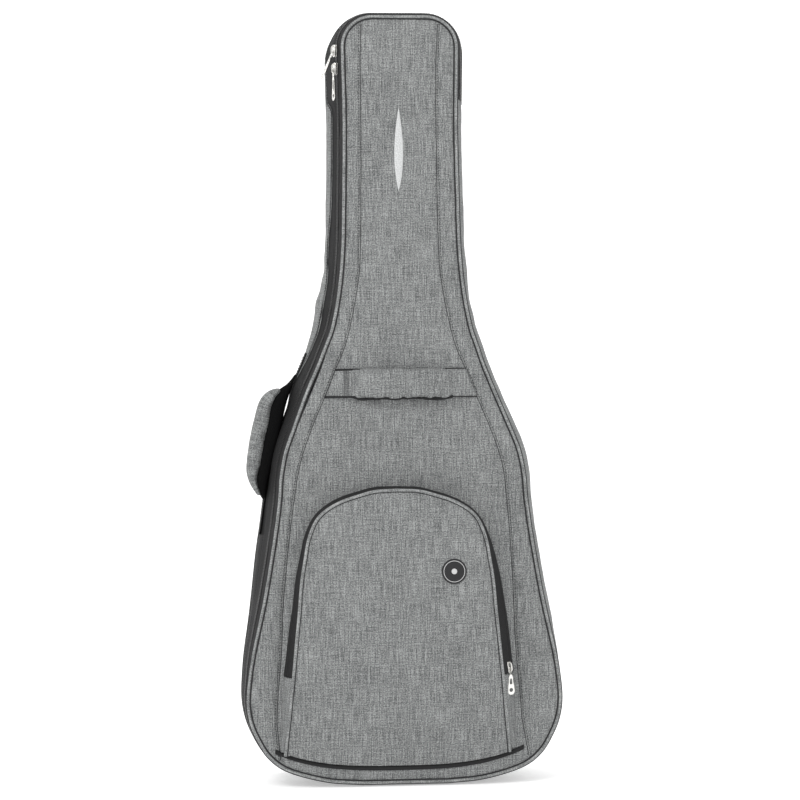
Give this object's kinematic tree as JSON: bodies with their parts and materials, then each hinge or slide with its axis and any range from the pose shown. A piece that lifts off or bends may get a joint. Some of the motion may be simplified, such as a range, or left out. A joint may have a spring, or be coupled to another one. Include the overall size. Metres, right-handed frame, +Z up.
{
  "type": "padded guitar gig bag",
  "caption": "Upright padded guitar gig bag with a hinged zipped lid, arched front pocket with a fold-down flap, carrying handles and clip-on back straps.",
  "frame": {"origin": "centre of the flat base the bag stands on", "axes": "+Z up from the base to the headstock end, -Y the front with the lid and pocket, +X the side the lid is hinged on"},
  "size_m": [0.4536, 0.2055, 1.094],
  "materials": {
    "grey_fabric": "matte",
    "black_webbing": "matte",
    "padding_foam": "matte",
    "plush_lining": "matte",
    "zip_coil": "satin",
    "nickel": "polished",
    "hook_plastic": "satin",
    "badge_rubber": "matte",
    "light_thread": "satin"
  },
  "bodies": {
    "bag": {"back_foam": "padding_foam", "back_lining": "plush_lining", "back_panel": "grey_fabric", "back_piping": "grey_fabric", "end_pad": "plush_lining", "neck_rest": "plush_lining", "neck_strap": "black_webbing", "side_handle_tab_low": "black_webbing", "side_handle_tab_top": "black_webbing", "strap_left_tab": "black_webbing", "strap_right_tab": "black_webbing", "strap_yoke": "black_webbing", "wall_foam_base": "padding_foam", "wall_foam_head": "padding_foam", "wall_foam_left": "padding_foam", "wall_foam_right": "padding_foam", "wall_lining": "plush_lining", "wall_outer_base": "grey_fabric", "wall_outer_head": "grey_fabric", "wall_outer_left": "grey_fabric", "wall_outer_right": "grey_fabric", "zip_coil_tray": "zip_coil", "zip_end_low": "black_webbing", "zip_end_top": "black_webbing", "zip_tape_tray": "black_webbing"},
    "lid": {"front_centre_panel": "grey_fabric", "front_strip_left": "grey_fabric", "front_strip_right": "grey_fabric", "front_foam": "padding_foam", "front_lining": "plush_lining", "front_piping": "grey_fabric", "zip_tape_lid": "black_webbing", "zip_coil_lid": "zip_coil", "stitched_mark": "light_thread", "pocket_lower_panel": "grey_fabric", "pocket_zip_base": "black_webbing", "pocket_gusset_left": "grey_fabric", "pocket_gusset_right": "grey_fabric", "bottom_trim": "black_webbing", "front_handle_tab_left": "black_webbing", "front_handle_tab_right": "black_webbing"},
    "pocket_flap": {"pocket_flap_panel": "grey_fabric", "pocket_piping": "grey_fabric", "pocket_zip_flap": "black_webbing", "badge_patch": "badge_rubber"},
    "front_handle": {"front_handle": "grey_fabric"},
    "side_handle": {"side_handle_pad": "grey_fabric", "side_handle_web": "black_webbing"},
    "main_slider_low": {"main_slider_low": "nickel"},
    "main_pull_low": {"main_pull_low": "nickel"},
    "main_slider_top": {"main_slider_top": "nickel"},
    "main_pull_top": {"main_pull_top": "nickel"},
    "pocket_slider": {"pocket_slider": "nickel"},
    "pocket_pull": {"pocket_pull": "nickel"},
    "strap_left": {"strap_left_pad": "grey_fabric", "strap_left_web": "black_webbing", "strap_left_hook": "hook_plastic"},
    "strap_right": {"strap_right_pad": "grey_fabric", "strap_right_web": "black_webbing", "strap_right_hook": "hook_plastic"}
  },
  "joints": [
    {"name": "lid_hinge", "type": "hinge", "parent": "bag", "child": "lid", "pos_m": [0.2262, -0.0735, 0.123], "axis": [-0.1464, 0, 0.9892], "range_deg": [0, 160]},
    {"name": "pocket_flap_fold", "type": "hinge", "parent": "lid", "child": "pocket_flap", "pos_m": [-0.0115, -0.112, 0.158], "axis": [1, 0, 0], "range_deg": [0, 85]},
    {"name": "front_handle_lift", "type": "slide", "parent": "lid", "child": "front_handle", "axis": [0, -1, 0], "range_m": [0, 0.012]},
    {"name": "side_handle_lift", "type": "slide", "parent": "bag", "child": "side_handle", "axis": [-0.927, 0, 0.375], "range_m": [0, 0.012]},
    {"name": "main_slider_low_run", "type": "slide", "parent": "bag", "child": "main_slider_low", "axis": [-0.0117, 0, -0.9999], "range_m": [0, 0.2]},
    {"name": "main_pull_low_swing", "type": "hinge", "parent": "main_slider_low", "child": "main_pull_low", "pos_m": [-0.09074, -0.05804, 1.0115], "axis": [-0.2991, 0.9542, 0], "range_deg": [0, 40]},
    {"name": "main_slider_top_run", "type": "hinge", "parent": "bag", "child": "main_slider_top", "pos_m": [-0.036, -0.0561, 1.04], "axis": [0, 1, 0], "range_deg": [0, 80]},
    {"name": "main_pull_top_swing", "type": "hinge", "parent": "main_slider_top", "child": "main_pull_top", "pos_m": [-0.09074, -0.05804, 1.03653], "axis": [-0.2991, 0.9542, 0.0006], "range_deg": [-8, 95]},
    {"name": "pocket_slider_run", "type": "slide", "parent": "pocket_flap", "child": "pocket_slider", "axis": [-0.0896, 0, 0.996], "range_m": [0, 0.12]},
    {"name": "pocket_pull_swing", "type": "hinge", "parent": "pocket_slider", "child": "pocket_pull", "pos_m": [0.14674, -0.09723, 0.167], "axis": [-0.5256, -0.8494, -0.0473], "range_deg": [0, 150]},
    {"name": "strap_left_swing", "type": "hinge", "parent": "bag", "child": "strap_left", "pos_m": [0, 0.0832, 0.629], "axis": [1, 0, 0], "range_deg": [0, 75]},
    {"name": "strap_right_swing", "type": "hinge", "parent": "bag", "child": "strap_right", "pos_m": [0, 0.0832, 0.629], "axis": [1, 0, 0], "range_deg": [0, 75]}
  ]
}
